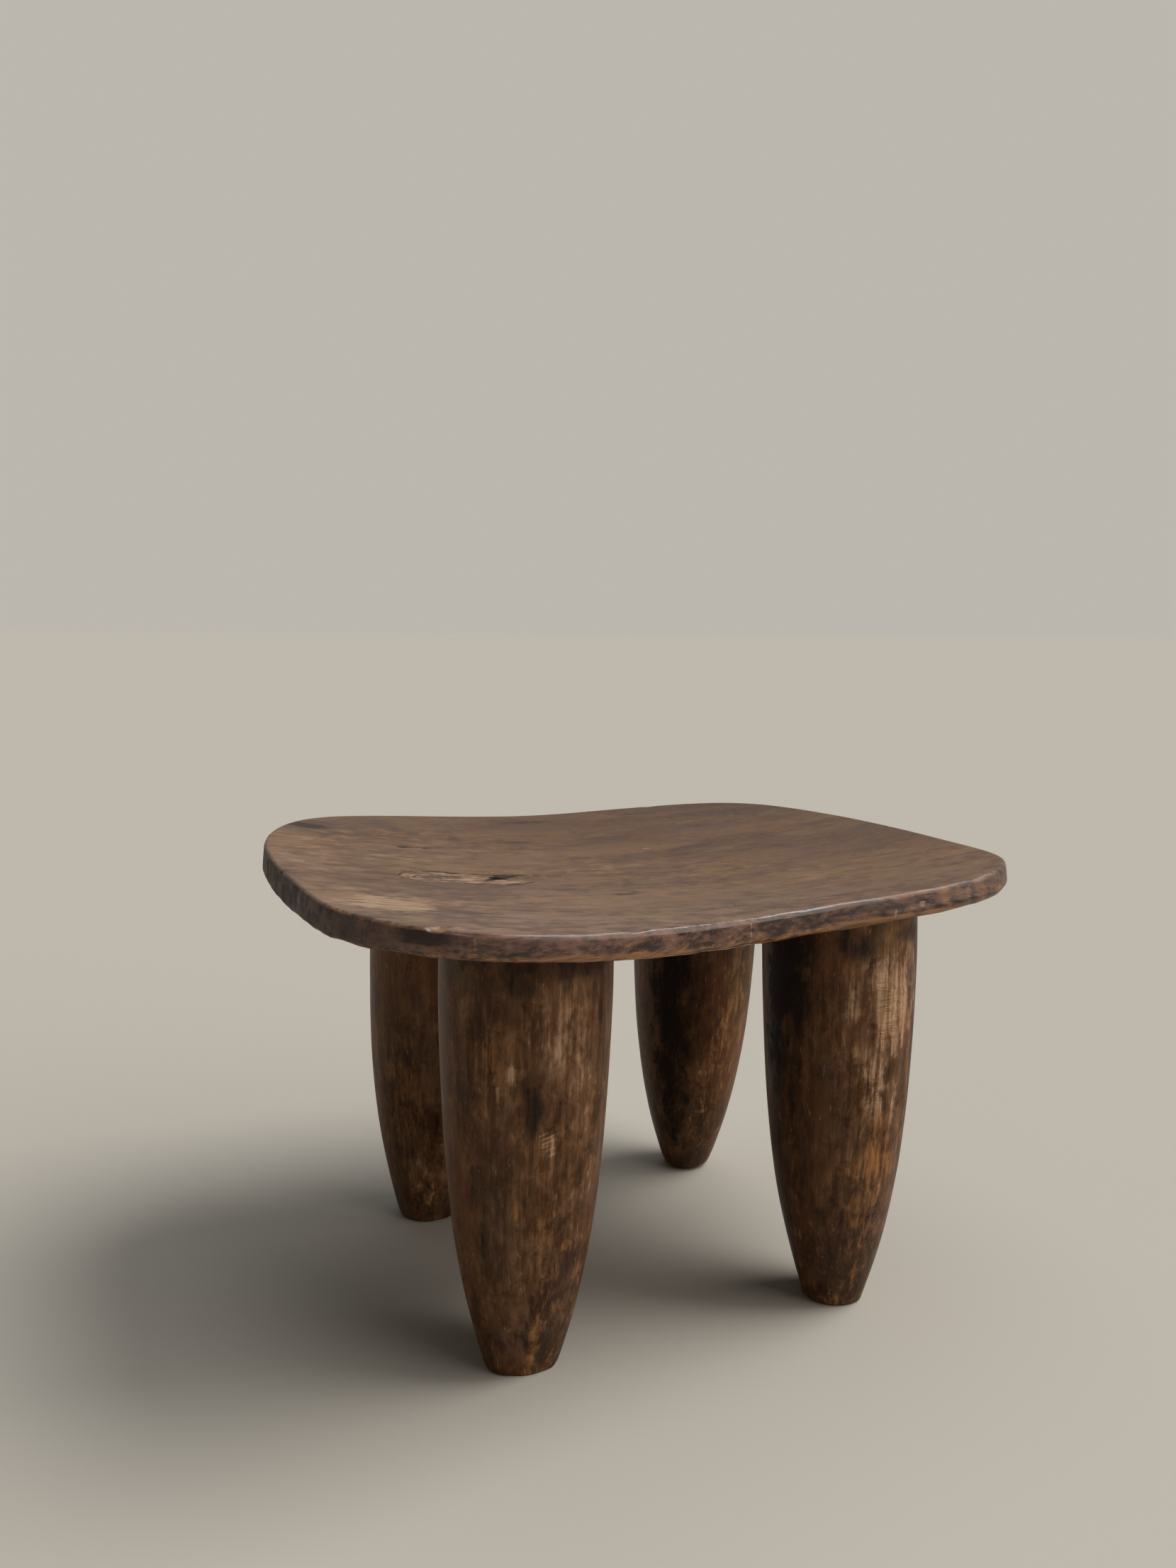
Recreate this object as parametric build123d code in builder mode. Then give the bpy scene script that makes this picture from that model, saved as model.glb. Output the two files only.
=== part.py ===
from build123d import *
from math import hypot
import os

os.makedirs("parts", exist_ok=True)

# Seat slab: a rounded plan, wider at the near left corner, dished both ways, its rims worn round
seat_length = 452.0
seat_depth = 364.0
seat_thickness = 18.7
underside_height = 238.4
end_rise = 17.75
upper_rim_radius = 3.4
lower_rim_radius = 4.5

# Legs: stout bullet forms, full under the seat and drawn in to a small flat foot
leg_radius = 48.5
foot_radius = 21.0
foot_edge_radius = 1.6
sole_overrun = 4.0
overrun = 40.0

half_length = seat_length / 2
half_depth = seat_depth / 2
dish_radius = half_length**2 / (2 * end_rise) + end_rise / 2

# Plan of the seat, as shares of its half length and half depth, from the right end round the far side
outline_shares = [
    (1.00, -0.25),
    (0.98, 0.20),
    (0.90, 0.56),
    (0.72, 0.88),
    (0.45, 0.995),
    (-0.03, 0.985),
    (-0.46, 0.985),
    (-0.745, 0.895),
    (-0.92, 0.64),
    (-1.00, 0.14),
    (-0.985, -0.36),
    (-0.90, -0.82),
    (-0.70, -0.985),
    (-0.33, -0.95),
    (0.00, -0.835),
    (0.36, -0.75),
    (0.70, -0.73),
    (0.935, -0.59),
]

# Lowest points of the dished top and of the underside, which lie a little apart
top_low_shares = (0.067, -0.063)
underside_low_shares = (0.067, 0.022)

# Where a leg's two arcs meet: share of its height, and share of what it gains over its foot
knee_height_share = 0.5
knee_gain_share = 0.83

# Centre at the seat, centre at the foot, then shares of the leg radius, foot radius and foot edge
leg_shares = {
    "leg_far_left": ((-0.432, 0.566), (-0.473, 0.573), 0.975, 0.95, 1.3),
    "leg_near_left": ((-0.454, -0.489), (-0.465, -0.500), 1.0, 1.01, 0.8),
    "leg_far_right": ((0.448, 0.574), (0.453, 0.620), 0.97, 0.835, 3.2),
    "leg_near_right": ((0.445, -0.480), (0.454, -0.514), 0.96, 0.88, 1.0),
}


def ball_above(height, low_shares):
    """Ball whose lowest point stands at the height, so that what it cuts is dished both ways."""
    centre = (low_shares[0] * half_length, low_shares[1] * half_depth, height + dish_radius)
    with BuildPart(Plane(origin=centre)) as ball:
        Sphere(dish_radius, rotation=(0, -90, 0))
    return ball.part


over_underside = ball_above(underside_height, underside_low_shares)
over_top = ball_above(underside_height + seat_thickness, top_low_shares)

# Seat: the plan stands up through the two dished surfaces
with BuildPart() as seat:
    with BuildSketch(Plane.XY.offset(underside_height - overrun)):
        with BuildLine():
            Spline(*[(x * half_length, y * half_depth) for x, y in outline_shares], periodic=True)
        make_face()
    extrude(amount=seat_thickness + 2 * end_rise + 2 * overrun)
    add(over_underside, mode=Mode.INTERSECT)
    add(over_top, mode=Mode.SUBTRACT)
    fillet(seat.edges().sort_by(Axis.Z)[-1], upper_rim_radius)
    fillet(seat.edges().sort_by(Axis.Z)[0], lower_rim_radius)
seat.part.label = "seat"
export_step(seat.part, "parts/seat.step")


def carve_leg(top_share, foot_share, radius_share, foot_radius_share, edge_share):
    """One leg: a bullet turned about its own leaning axis, sawn flat below, shaped to the seat above."""
    foot = (foot_share[0] * half_length, foot_share[1] * half_depth)
    lean = (top_share[0] * half_length - foot[0], top_share[1] * half_depth - foot[1])
    full = leg_radius * radius_share
    small = foot_radius * foot_radius_share
    height = hypot(*lean, underside_height)
    knee = (small + knee_gain_share * (full - small), knee_height_share * height)
    axis_plane = Plane(origin=(*foot, 0), z_dir=(*lean, underside_height))
    turning_plane = Plane(origin=axis_plane.origin, x_dir=axis_plane.x_dir, z_dir=-axis_plane.y_dir)
    with BuildPart() as leg:
        with BuildSketch(turning_plane):
            with BuildLine():
                upper = TangentArc((full, height), knee, tangent=(0, -1))
                lower = TangentArc(knee, (small, 0), tangent=upper % 1)
                below = lower @ 1 + lower % 1 * sole_overrun
                above = height + overrun
                Polyline(below, (0, below.Y), (0, above), (full, above), (full, height))
                Line(lower @ 1, below)
            make_face()
        revolve(axis=Axis(axis_plane.origin, axis_plane.z_dir))
        split(bisect_by=Plane.XY, keep=Keep.TOP)
        add(over_underside, mode=Mode.SUBTRACT)
        sole = leg.faces().sort_by(Axis.Z)[0]
        fillet(sole.edges(), foot_edge_radius * edge_share)
    return leg.part


for name, shares in leg_shares.items():
    leg_part = carve_leg(*shares)
    leg_part.label = name
    export_step(leg_part, f"parts/{name}.step")
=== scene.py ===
import random
from math import cos, pi, radians, sin

import bmesh
import bpy
import numpy as np
from mathutils import Matrix, Vector, noise
from mathutils.bvhtree import BVHTree


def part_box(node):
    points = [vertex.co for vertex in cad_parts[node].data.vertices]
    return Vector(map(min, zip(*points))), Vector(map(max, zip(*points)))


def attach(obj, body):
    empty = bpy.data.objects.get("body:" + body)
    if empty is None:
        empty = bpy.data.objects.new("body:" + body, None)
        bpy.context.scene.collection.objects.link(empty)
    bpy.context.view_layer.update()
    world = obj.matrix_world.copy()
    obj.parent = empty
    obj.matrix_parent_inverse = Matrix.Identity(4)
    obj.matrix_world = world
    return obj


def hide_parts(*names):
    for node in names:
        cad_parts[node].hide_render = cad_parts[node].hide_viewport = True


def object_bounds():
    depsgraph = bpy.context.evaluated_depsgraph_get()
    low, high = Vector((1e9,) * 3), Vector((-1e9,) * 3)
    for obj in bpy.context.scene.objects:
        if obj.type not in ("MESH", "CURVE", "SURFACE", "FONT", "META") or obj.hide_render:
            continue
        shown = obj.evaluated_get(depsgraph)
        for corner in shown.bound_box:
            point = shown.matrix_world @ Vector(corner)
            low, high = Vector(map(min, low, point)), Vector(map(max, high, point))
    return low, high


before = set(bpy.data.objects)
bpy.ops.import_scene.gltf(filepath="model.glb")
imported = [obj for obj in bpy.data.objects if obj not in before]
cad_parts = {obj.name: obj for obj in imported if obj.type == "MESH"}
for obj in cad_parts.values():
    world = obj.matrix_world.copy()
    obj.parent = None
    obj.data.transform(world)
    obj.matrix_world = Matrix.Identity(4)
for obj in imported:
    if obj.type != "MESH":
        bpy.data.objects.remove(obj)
cad_box = [list(corner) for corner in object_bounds()]


# Seat: the slab left at the top of the block when the stool was cut from one piece of
# dense brown hardwood. It is adzed to a shallow dish, scraped smooth above and left
# tooled below, and years of hands and cloth have rounded and polished its rim.
top_round = 0.0034
low_round = 0.0048
rim_margin = 0.0004
rim_width = 0.012
top_skin = 0.002
round_steps = 6
side_steps = 7
grid_cells = 150
plan_steps = 2880
outline_waves = 16
inner_share = 0.7
noise_step = 17.3


def solid_copy(node):
    """A joined-up copy of a node's solid, to be measured and thrown away."""
    copy = bmesh.new()
    copy.from_mesh(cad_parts[node].data)
    bmesh.ops.remove_doubles(copy, verts=copy.verts, dist=1e-6)
    copy.normal_update()
    return copy


def places_of(verts):
    return np.array([v.co for v in verts])


def corners_where(solid, slope_fits):
    """Corners of the faces whose slope, from 1 for up to -1 for down, passes the test."""
    return places_of([v for v in solid.verts if any(slope_fits(f.normal.z) for f in v.link_faces)])


def bowl_terms(x, y):
    return np.stack([np.ones_like(x), x, y, x * x, x * y, y * y, x**4, y**4, x * x * y * y], axis=-1)


def bowl_fit(solid, facing):
    """The smooth dished face of the slab that looks up (1) or down (-1)."""
    p = corners_where(solid, lambda slope: slope * facing > 0.9)
    p = p[(p[:, 0] / half_length) ** 2 + (p[:, 1] / half_depth) ** 2 < inner_share]
    return np.linalg.lstsq(bowl_terms(p[:, 0], p[:, 1]), p[:, 2], rcond=None)[0]


seat_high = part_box("seat")[1]
half_length = seat_high.x
half_depth = seat_high.y
seat_solid = solid_copy("seat")
top_fit = bowl_fit(seat_solid, 1)
under_fit = bowl_fit(seat_solid, -1)
side_places = corners_where(seat_solid, lambda slope: abs(slope) < 0.02)
seat_solid.free()

# The plan of the slab, as a smooth distance from its middle all the way round
turns = np.linspace(-pi, pi, plan_steps, endpoint=False)
side_turns = np.arctan2(side_places[:, 1], side_places[:, 0])
side_reach = np.hypot(side_places[:, 0], side_places[:, 1])
tones = np.fft.rfft(np.interp(turns, side_turns, side_reach, period=2 * pi))
tones[outline_waves:] = 0
reach = np.fft.irfft(tones, plan_steps) - rim_margin
plan = np.stack([reach * np.cos(turns), reach * np.sin(turns)], axis=-1)
along = np.roll(plan, -1, axis=0) - np.roll(plan, 1, axis=0)
outward = np.stack([along[:, 1], -along[:, 0]], axis=-1) / np.linalg.norm(along, axis=1)[:, None]


def top_height(x, y):
    return bowl_terms(x, y) @ top_fit


def under_height(x, y):
    return bowl_terms(x, y) @ under_fit


def read_round(angles, values):
    """Values kept for every turn of the plan, read at any angle."""
    return np.interp(angles, turns, values, period=2 * pi)


def rim_at(angles, inset):
    """Places on the plan, drawn in from its edge, for directions from the middle."""
    x = read_round(angles, plan[:, 0]) - inset * read_round(angles, outward[:, 0])
    y = read_round(angles, plan[:, 1]) - inset * read_round(angles, outward[:, 1])
    return x, y


def step(value, low, high):
    """0 at low, 1 at high and smooth between."""
    t = np.clip((value - low) / (high - low), 0, 1)
    return t * t * (3 - 2 * t)


def bell(value, middle, width, power=2):
    """1 at the middle, falling away over the width, with a flatter top for a higher power."""
    return np.exp(-(((value - middle) / width) ** power))


def lean_at(angles):
    """How far the top edge of the rim is drawn in at the left end and the near right corner."""
    turn = np.degrees(angles)
    return 0.0016 * bell(turn % 360, 185, 26) + 0.0012 * bell(turn, -38, 20)


def spread_to_plan(shape, verts, inset, height):
    """Stretches a square grid until its edge follows the plan."""
    flat = places_of(verts)[:, :2]
    angles = np.arctan2(flat[:, 1] * half_depth, flat[:, 0] * half_length)
    share = np.abs(flat).max(axis=1)
    edge_x, edge_y = rim_at(angles, inset(angles))
    x, y = share * edge_x, share * edge_y
    angle_layer = shape.verts.layers.float["angle"]
    for v, angle, place in zip(verts, angles, np.stack([x, y, height(x, y)], axis=-1)):
        v.co = place
        v[angle_layer] = angle


seat_shape = bmesh.new()
seat_shape.verts.layers.float.new("angle")
bmesh.ops.create_grid(seat_shape, x_segments=grid_cells, y_segments=grid_cells, size=1.0)
spread_to_plan(seat_shape, list(seat_shape.verts), lambda a: top_round + lean_at(a), top_height)
ring = [e for e in seat_shape.edges if e.is_boundary]

# The rim, drawn down from the edge of the top one narrow band at a time
band_steps = {"top": round_steps, "side": side_steps, "low": round_steps}
rim_bands = [(band, (i + 1) / steps) for band, steps in band_steps.items() for i in range(steps)]
for band, share in rim_bands:
    drawn = bmesh.ops.extrude_edge_only(seat_shape, edges=ring)["geom"]
    fresh = [g for g in drawn if isinstance(g, bmesh.types.BMVert)]
    ring = [g for g in drawn if isinstance(g, bmesh.types.BMEdge)]
    angle_layer = seat_shape.verts.layers.float["angle"]
    angles = np.array([v[angle_layer] for v in fresh])
    swing = share * pi / 2
    if band == "top":
        x, y = rim_at(angles, lean_at(angles) + top_round * (1 - sin(swing)))
        z = top_height(x, y) - top_round * (1 - cos(swing))
    elif band == "side":
        x, y = rim_at(angles, lean_at(angles) * (1 - share))
        z = (top_height(x, y) - top_round) * (1 - share) + (under_height(x, y) + low_round) * share
    else:
        x, y = rim_at(angles, low_round * (1 - cos(swing)))
        z = under_height(x, y) + low_round * (1 - sin(swing))
    for v, place in zip(fresh, np.stack([x, y, z], axis=-1)):
        v.co = place

# The underside, a second grid welded to the last band
before = set(seat_shape.verts)
bmesh.ops.create_grid(seat_shape, x_segments=grid_cells, y_segments=grid_cells, size=1.0)
under_verts = [v for v in seat_shape.verts if v not in before]
spread_to_plan(seat_shape, under_verts, lambda a: low_round, under_height)
bmesh.ops.remove_doubles(seat_shape, verts=seat_shape.verts, dist=2e-6)
bmesh.ops.recalc_face_normals(seat_shape, faces=seat_shape.faces)

# The knot, a swirl with a long dry scar beside it: its outline from left to right, then its
# ragged holes by place, half length, half width and depth
knot_x = (-0.152, -0.146, -0.136, -0.123, -0.110, -0.095, -0.080, -0.062, -0.046)
knot_far = (0.002, 0.0120, 0.0178, 0.0185, 0.0125, 0.0108, 0.0098, 0.0080, 0.0058)
knot_near = (-0.001, -0.0120, -0.0185, -0.0170, -0.0190, -0.0200, -0.0165, -0.0040, 0.0050)
ring_width = 0.0042
knot_holes = (
    (-0.0895, 0.0002, 0.0052, 0.0044, 0.0030),
    (-0.0945, -0.0055, 0.0042, 0.0022, 0.0022),
    (-0.0850, 0.0066, 0.0062, 0.0028, 0.0026),
    (-0.0930, 0.0094, 0.0048, 0.0014, 0.0022),
    (-0.0795, 0.0034, 0.0034, 0.0012, 0.0018),
    (-0.0985, 0.0034, 0.0036, 0.0012, 0.0016),
    (-0.0765, 0.0088, 0.0044, 0.0016, 0.0016),
    (-0.0690, 0.0086, 0.0030, 0.0012, 0.0012),
)
# Dark seams of the knot, and splits in the top: from one end to the other, width and depth
knot_seams = (
    ((-0.0860, 0.0085), (-0.0640, 0.0088), 0.0016, 0.0012),
    ((-0.0640, 0.0088), (-0.0430, 0.0066), 0.0012, 0.0008),
    ((-0.1240, 0.0160), (-0.0940, 0.0100), 0.0013, 0.0009),
    ((-0.1230, -0.0020), (-0.0960, -0.0005), 0.0010, 0.0006),
    ((-0.1290, -0.0080), (-0.1060, -0.0100), 0.0009, 0.0005),
    ((-0.1180, 0.0070), (-0.0980, 0.0050), 0.0009, 0.0005),
    ((-0.1160, -0.0170), (-0.0900, -0.0180), 0.0014, 0.0009),
    ((-0.0900, -0.0180), (-0.0700, -0.0120), 0.0013, 0.0005),
)
top_splits = (
    ((-0.1290, 0.0872), (-0.1215, 0.0862), 0.0021, 0.0014),
    ((-0.1182, 0.0856), (-0.1166, 0.0853), 0.0014, 0.0007),
    ((-0.1138, 0.0847), (-0.1105, 0.0838), 0.0016, 0.0009),
    ((-0.2262, -0.0122), (-0.2140, -0.0076), 0.0015, 0.0014),
    ((0.0820, 0.0062), (0.1170, -0.0022), 0.0008, 0.0003),
    ((0.0145, -0.1122), (0.0185, -0.1140), 0.0012, 0.0008),
)
# Drying checks across the rim at both ends: direction, shares of the way down, width and depth
end_checks = (
    (172.3, 0.20, 0.74, 0.0008, 0.0026),
    (174.4, 0.50, 0.90, 0.0004, 0.0005),
    (179.4, 0.30, 0.60, 0.0003, 0.0003),
    (-172.5, 0.40, 0.90, 0.0003, 0.0004),
    (8.0, 0.06, 0.62, 0.0007, 0.0014),
    (10.5, 0.30, 0.95, 0.0004, 0.0007),
    (-6.0, 0.25, 0.85, 0.0004, 0.0006),
)
# Chips out of the rim: direction, share of the way down, length, height and depth
rim_chips = (
    (-136.2, 0.02, 0.0048, 0.15, 0.0016),
    (-133.2, 0.04, 0.0070, 0.12, 0.0006),
    (-138.2, 0.34, 0.0150, 0.26, 0.0011),
    (-113.0, 0.00, 0.0060, 0.10, 0.0004),
    (-46.7, 0.45, 0.0026, 0.14, 0.0007),
    (-37.0, 0.00, 0.0080, 0.16, 0.0006),
    (-30.0, 0.92, 0.0080, 0.18, 0.0008),
    (62.0, 0.02, 0.0060, 0.14, 0.0003),
    (118.0, 0.95, 0.0090, 0.16, 0.0009),
)
# Pale scratches down the rim: direction, shares of the way down, width, slant and strength
pale_marks = (
    (-88.8, 0.05, 0.95, 0.0004, 0, 0.8),
    (-51.6, 0.45, 0.85, 0.0007, 0.003, 0.8),
    (-49.9, 0.50, 0.75, 0.0005, 0.003, 0.6),
    (-131.9, 0.15, 0.90, 0.0005, 0, 0.5),
)
# Stains, pale worn places and a painted sheen on the top: place, half length, half width and strength
top_stains = (
    (-0.183, 0.132, 0.030, 0.012, 0.75),
    (-0.020, 0.156, 0.032, 0.009, 0.6),
    (-0.044, 0.101, 0.024, 0.005, 0.55),
    (-0.141, -0.116, 0.030, 0.006, 0.6),
    (-0.031, -0.056, 0.018, 0.005, 0.75),
    (0.106, 0.113, 0.020, 0.007, 0.5),
    (0.011, -0.008, 0.018, 0.004, 0.5),
    (-0.060, -0.012, 0.030, 0.007, 0.35),
    (0.060, 0.020, 0.050, 0.006, 0.3),
    (-0.165, 0.020, 0.020, 0.010, 0.3),
    (-0.120, -0.090, 0.024, 0.004, 0.3),
    (0.150, 0.060, 0.030, 0.008, 0.3),
)
pale_spots_and_sheen = (
    # The first two are painted sheen: a bright streaky patch on the near left, and a weaker one round it
    (-0.180, -0.097, 0.046, 0.040, 0.84),
    (-0.170, -0.094, 0.085, 0.070, 0.34),
    (0.042, 0.0685, 0.004, 0.003, 0.9),
    (0.026, -0.0442, 0.005, 0.0022, 0.9),
    (0.089, -0.0752, 0.0016, 0.0016, 1.0),
    (-0.150, 0.060, 0.050, 0.020, 0.22),
    (-0.028, 0.0056, 0.028, 0.0016, 0.5),
    (-0.118, -0.060, 0.003, 0.010, 0.25),
    (-0.200, 0.040, 0.030, 0.050, 0.25),
    (0.020, 0.030, 0.060, 0.010, 0.15),
)


def refine(shape, chosen, cuts):
    """Gives the faces whose middle passes the test a finer net."""
    faces = [f for f in shape.faces if chosen(f.calc_center_median())]
    edges = list(dict.fromkeys(e for f in faces for e in f.edges))
    bmesh.ops.subdivide_edges(shape, edges=edges, cuts=cuts, use_grid_fill=True)


def within(c, x_span, y_span):
    return x_span[0] < c.x < x_span[1] and y_span[0] < c.y < y_span[1]


def on_top(c, x_span, y_span):
    """True inside an oblong of the slab's top."""
    return within(c, x_span, y_span) and c.z > top_height(c.x, c.y) - top_skin


def off_underside(c, x_span, y_span, clearance):
    """True inside an oblong, for all but the slab's underside."""
    return within(c, x_span, y_span) and c.z > under_height(c.x, c.y) + clearance


def by_a_rim_mark(c):
    """True near the thin marks that cross the side."""
    turn = np.degrees(np.arctan2(c.y, c.x))
    reached = ((-131.8, 0.7), (-88.8, 0.7), (-50.8, 1.9), (-46.7, 1.2), (9.0, 2.6))
    if not any(abs(turn - middle) < wide for middle, wide in reached):
        return False
    return under_height(c.x, c.y) + 0.0003 < c.z < top_height(c.x, c.y) - 0.0003


# Finer nets for the knot, its holes, the slit, the left end, the thin marks and the near left chips
refine(seat_shape, lambda c: on_top(c, (-0.157, -0.036), (-0.024, 0.024)), 3)
refine(seat_shape, lambda c: on_top(c, (-0.101, -0.070), (-0.012, 0.012)), 1)
refine(seat_shape, lambda c: on_top(c, (-0.135, -0.108), (0.080, 0.091)), 3)
refine(seat_shape, lambda c: off_underside(c, (-1, -0.2070), (-0.016, 0.036), 0.001), 3)
refine(seat_shape, by_a_rim_mark, 3)
refine(seat_shape, lambda c: off_underside(c, (-0.188, -0.150), (-1, -0.155), 0.003), 1)
seat_shape.normal_update()


def ripple(p, size, stretch=(1, 1, 1), seed=0):
    """Smooth lumps from -1 to 1, about the given size and drawn out along an axis."""
    scaled = p / (size * np.array(stretch)) + seed * noise_step
    return np.array([noise.noise(Vector(q)) for q in scaled])


def scallops(p, size, stretch):
    """0 in the middle of each adze cut, rising to 1 on the ridge between cuts."""
    scaled = p / (size * np.array(stretch))
    found = [noise.voronoi(Vector(q))[0] for q in scaled]
    return np.array([1 - min(1.0, (d[1] - d[0]) * 1.6) for d in found])


def stroke(u, v, start, end, width):
    """1 on a short line between two places, fading over its width, and thinner at its end."""
    run_u, run_v = end[0] - start[0], end[1] - start[1]
    off_u, off_v = u - start[0], v - start[1]
    share = np.clip((off_u * run_u + off_v * run_v) / (run_u**2 + run_v**2), 0, 1)
    gap = np.hypot(off_u - share * run_u, off_v - share * run_v)
    return bell(gap, 0, width * (1.15 - 0.7 * share))


def patch(u, v, middle, size, ragged):
    """1 in the middle of an oval, 0 outside its ragged edge."""
    gap = np.hypot((u - middle[0]) / size[0], (v - middle[1]) / size[1])
    return 1 - step(gap + ragged, 0.2, 1.0)


def turned_from(turn, middle):
    """Degrees from one direction to another, the short way round."""
    return (turn - middle + 180) % 360 - 180


p = places_of(seat_shape.verts)
normals = np.array([v.normal for v in seat_shape.verts])
x, y, z = p.T
angle = np.degrees(np.arctan2(y, x))
upper = step(normals[:, 2], 0.55, 0.95)
under = step(-normals[:, 2], 0.55, 0.95)
upright = 1 - np.maximum(upper, under)
down = (top_height(x, y) - z) / (top_height(x, y) - under_height(x, y))
on_rim = read_round(np.radians(angle), reach) - np.hypot(x, y) < rim_width
near_middle = bell(angle, -90, 27, 4)
left_end = bell(angle % 360, 188, 34, 4)
right_corner = bell(angle, -36, 17, 4)
wobble = ripple(p, 0.006, (2.2, 1, 1), 1)
fine = ripple(p, 0.0022, (2.5, 1, 1), 2)
broad = ripple(p, 0.055, (1.8, 1, 1), 3)
ragged = 0.35 * ripple(p, 0.014, (2.5, 1, 1), 9) + 0.25 * wobble + 0.15 * fine


def round_the_rim(side_angle):
    """Metres along the rim from a direction."""
    return np.radians(turned_from(angle, side_angle)) * np.hypot(x, y)


def part_way_down(starts, full, fades, ends):
    """1 on a part of the rim's height, by shares of the way down."""
    return step(down, starts, full) * (1 - step(down, fades, ends))


def spots_on_top(places, edge):
    """The strongest of several ovals at each place of the top."""
    strongest = np.zeros(len(p))
    for spot_x, spot_y, long, wide, strength in places:
        strongest = np.maximum(strongest, strength * patch(x, y, (spot_x, spot_y), (long, wide), edge))
    return upper * strongest


# The top is a little uneven, the underside adzed and the side dented, most of all low down
depth = upper * (0.00022 * broad + 0.00010 * ripple(p, 0.018, (2.4, 1, 1), 4))
adze_cuts = scallops(p + 0.003 * wobble[:, None], 0.030, (1.6, 0.8, 1))
depth += under * (0.0010 * adze_cuts - 0.0010 + 0.0003 * broad)
dents = 0.00045 * ripple(p, 0.026, (1, 1, 1.6), 5) + 0.00022 * ripple(p, 0.009, (1, 1, 1.5), 6)
depth -= upright * (0.00035 + dents)
depth -= upright * step(down, 0.6, 0.95) * 0.0007 * (0.5 + 0.9 * ripple(p, 0.014, seed=7))

# The near arris is worn round between the near legs
depth -= on_rim * near_middle * 0.0003 * bell(down, 0.08, 0.09)

# Inside the knot the grain swirls, dries out and breaks
knot_ragged = 0.0011 * wobble + 0.0006 * fine
to_far = np.interp(x, knot_x, knot_far, left=-1, right=-1) - y + knot_ragged
to_near = y - np.interp(x, knot_x, knot_near, left=1, right=1) + knot_ragged
in_knot = upper * step(np.minimum(to_far, to_near), 0.0, 0.0030)
far_edge = bell(to_far, 0, 0.0021) * step(to_near, 0, 0.002) * np.clip(1.0 + 0.9 * wobble, 0, 1)
near_edge = bell(to_near, 0, 0.0017) * step(to_far, 0, 0.002) * np.clip(0.45 + 1.1 * wobble, 0, 1)
near_edge *= 1 - 0.7 * step(x, -0.078, -0.055)
knot_edge = upper * np.maximum(far_edge, near_edge)
eye = patch(x, y, (-0.136, -0.001), (0.021, 0.024), 0.2 * wobble)
from_eye = np.hypot((x + 0.1365) * 0.95, y + 0.0005)
rings = eye * (0.5 + 0.5 * np.sin(from_eye * 2 * pi / ring_width + 3.0 * wobble))
depth += in_knot * (0.00045 * fine + 0.00035 * wobble - 0.00012 * rings)
depth -= 0.0007 * knot_edge
knot_cut = np.zeros(len(p))
for start, end, width, deep in knot_seams:
    line = stroke(x, y + 0.0016 * wobble + 0.0008 * fine, start, end, width)
    line *= upper * np.clip(0.75 + 1.3 * fine, 0, 1)
    knot_cut = np.maximum(knot_cut, line)
    depth -= deep * line
holes = np.zeros(len(p))
# hole_dark: painted shade in and round the knot's holes
hole_dark = np.zeros(len(p))
for hole_x, hole_y, long, wide, deep in knot_holes:
    gap = np.hypot((x - hole_x) / long, (y - hole_y) / wide) + 0.45 * fine + 0.30 * wobble
    open_here = upper * (1 - step(gap, 0.62, 1.0))
    holes = np.maximum(holes, open_here)
    hole_dark = np.maximum(hole_dark, upper * (1 - step(gap, 0.9, 1.3)))
    depth -= deep * open_here

# split_dark: painted shade in the splits and end checks, darker the deeper they are
split_dark = np.zeros(len(p))
for start, end, width, deep in top_splits:
    line = step(normals[:, 2], 0.2, 0.6) * stroke(x, y + 0.0004 * fine, start, end, width)
    split_dark = np.maximum(split_dark, min(deep / 0.0010, 1) * np.minimum(1.9 * line, 1))
    depth -= deep * line
for side_angle, top_share, low_share, width, deep in end_checks:
    line = on_rim * bell(round_the_rim(side_angle) + 0.0005 * wobble, 0, width)
    line *= part_way_down(top_share - 0.08, top_share + 0.02, low_share - 0.15, low_share)
    split_dark = np.maximum(split_dark, min(deep / 0.0015, 1) * np.minimum(1.7 * line, 1))
    depth -= deep * line
chipped = np.zeros(len(p))
for chip_angle, middle, long, tall, deep in rim_chips:
    gap = np.hypot(round_the_rim(chip_angle) / long, (down - middle) / tall) + 0.35 * wobble
    gone = on_rim * (1 - step(gap, 0.3, 1.0))
    chipped = np.maximum(chipped, gone)
    depth -= deep * gone

# Stained and shaded: painted shade in every crack and hole and in the hollow under the near left chip, the
# knot's dark seams and rings, stains in spots, darker at the left end of the rim and faintly over the far
# right of the top
# The hollow under the near left chip is darkened with painted shade
painted_recess_shade = on_rim * bell(angle, -137, 4.6) * part_way_down(0.05, 0.16, 0.45, 0.8)
stained = np.maximum.reduce([
    split_dark,
    1.1 * hole_dark,
    1.05 * knot_cut,
    0.95 * knot_edge,
    0.58 * in_knot * rings,
    spots_on_top(top_stains, ragged),
    0.85 * painted_recess_shade,
    on_rim * upright * left_end * (0.66 + 0.3 * wobble),
    0.32 * upper * step(0.6 * x + y, -0.04, 0.14),
])

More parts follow.
